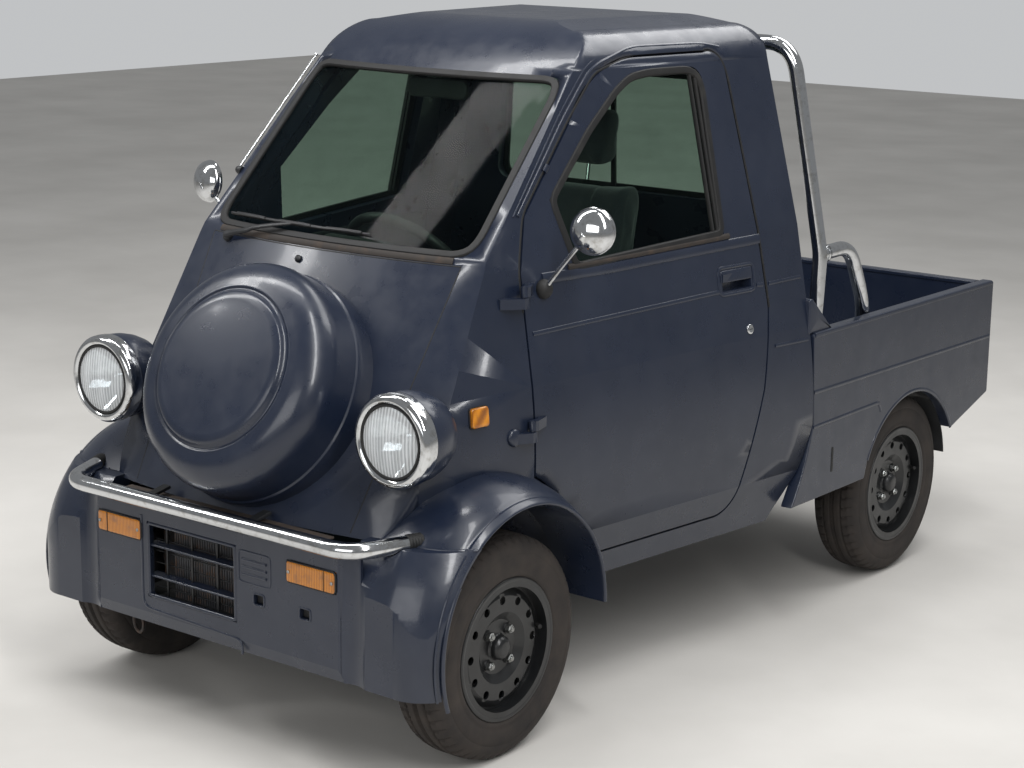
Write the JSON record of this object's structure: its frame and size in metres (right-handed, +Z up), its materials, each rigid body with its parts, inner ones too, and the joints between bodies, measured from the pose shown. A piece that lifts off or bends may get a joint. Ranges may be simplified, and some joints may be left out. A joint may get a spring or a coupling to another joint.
{
  "type": "kei truck",
  "caption": "Small slate blue open-bed truck with a sloping nose, a round spare wheel cover, round headlamps, bulging front wings and a roll bar.",
  "frame": {"origin": "on the ground under the truck's middle, half way between the bumper tube's front and the tail lamps' lenses, on the centre line", "axes": "+Z up, +Y towards the tail, +X towards the truck's own left side"},
  "size_m": [1.3448, 2.767, 1.6349],
  "materials": {
    "body_paint": "glossy dark slate blue paint",
    "chassis_paint": "satin black paint",
    "wheel_paint": "satin black wheel paint",
    "chrome_tube": "bright plated steel",
    "cast_metal": "raw cast metal",
    "clear_glass": "clear",
    "black_plastic": "satin",
    "grey_plastic": "matte",
    "amber_plastic": "glossy lens",
    "red_plastic": "glossy lens",
    "seat_cloth": "woven cover",
    "tyre_rubber": "matte"
  },
  "bodies": {
    "truck": {"chassis_frame": "chassis_paint", "cab_floor": "body_paint", "cab_shell": "body_paint", "nose_panel": "body_paint", "front_wings": "body_paint", "bumper_cover": "body_paint", "bumper_bar": "chrome_tube", "grille": "body_paint", "radiator": "chassis_paint", "windscreen": "clear_glass", "rear_window": "clear_glass", "spare_wheel_cover": "body_paint", "headlamp_shells": "body_paint", "headlamp_rings": "chrome_tube", "headlamp_lenses": "clear_glass", "turn_signals": "amber_plastic", "side_markers": "amber_plastic", "tail_lamps": "red_plastic", "wiper": "black_plastic", "antenna": "chrome_tube", "dashboard": "grey_plastic", "seat_pedestal": "grey_plastic", "seat_cushion": "seat_cloth", "seat_back": "seat_cloth", "headrest": "seat_cloth", "steering_column": "chassis_paint", "bed_floor": "body_paint", "bed_sides": "body_paint", "roll_bar": "chrome_tube", "rear_valance": "body_paint", "engine_block": "cast_metal", "exhaust": "cast_metal", "fuel_tank": "chassis_paint", "rear_axle": "cast_metal", "leaf_springs": "chassis_paint", "front_suspension": "chassis_paint"},
    "door_left": {"door_left": "body_paint", "door_glass_left": "clear_glass", "mirror_left": "chrome_tube"},
    "door_right": {"door_right": "body_paint", "door_glass_right": "clear_glass", "mirror_right": "chrome_tube"},
    "knuckle_left": {"knuckle_left": "cast_metal"},
    "knuckle_right": {"knuckle_right": "cast_metal"},
    "front_wheel_left": {"front_tyre_left": "tyre_rubber", "front_rim_left": "wheel_paint"},
    "front_wheel_right": {"front_tyre_right": "tyre_rubber", "front_rim_right": "wheel_paint"},
    "rear_wheel_left": {"rear_tyre_left": "tyre_rubber", "rear_rim_left": "wheel_paint"},
    "rear_wheel_right": {"rear_tyre_right": "tyre_rubber", "rear_rim_right": "wheel_paint"},
    "tailgate": {"tailgate": "body_paint"},
    "steering_wheel": {"steering_wheel": "black_plastic"}
  },
  "joints": [
    {"name": "door_left_swing", "type": "hinge", "parent": "truck", "child": "door_left", "pos_m": [0.53164, -0.816, 0.73], "axis": [0.0958, 0, -0.9954], "range_deg": [0, 65]},
    {"name": "steer_left", "type": "hinge", "parent": "truck", "child": "knuckle_left", "pos_m": [0.5, -0.988, 0.263], "axis": [-0.2079, 0, 0.9781], "range_deg": [-30, 30]},
    {"name": "front_wheel_left_spin", "type": "hinge", "parent": "knuckle_left", "child": "front_wheel_left", "pos_m": [0.535, -0.988, 0.263], "axis": [1, 0, 0], "continuous": true},
    {"name": "rear_wheel_left_spin", "type": "hinge", "parent": "truck", "child": "rear_wheel_left", "pos_m": [0.535, 0.852, 0.263], "axis": [1, 0, 0], "continuous": true},
    {"name": "door_right_swing", "type": "hinge", "parent": "truck", "child": "door_right", "pos_m": [-0.53164, -0.816, 0.73], "axis": [0.0958, 0, 0.9954], "range_deg": [0, 65]},
    {"name": "steer_right", "type": "hinge", "parent": "truck", "child": "knuckle_right", "pos_m": [-0.5, -0.988, 0.263], "axis": [0.2079, 0, 0.9781], "range_deg": [-30, 30]},
    {"name": "front_wheel_right_spin", "type": "hinge", "parent": "knuckle_right", "child": "front_wheel_right", "pos_m": [-0.535, -0.988, 0.263], "axis": [1, 0, 0], "continuous": true},
    {"name": "rear_wheel_right_spin", "type": "hinge", "parent": "truck", "child": "rear_wheel_right", "pos_m": [-0.535, 0.852, 0.263], "axis": [1, 0, 0], "continuous": true},
    {"name": "tailgate_drop", "type": "hinge", "parent": "truck", "child": "tailgate", "pos_m": [0, 1.311, 0.578], "axis": [-1, 0, 0], "range_deg": [0, 90]},
    {"name": "steering_wheel_turn", "type": "hinge", "parent": "truck", "child": "steering_wheel", "pos_m": [-0.04, -0.608, 1], "axis": [0, 0.788, 0.6157], "range_deg": [-360, 360]}
  ],
  "couplings": [
    {"joint": "steer_right", "follows": "steer_left", "ratio": 1},
    {"joint": "steering_wheel_turn", "follows": "steer_left", "ratio": 12}
  ]
}
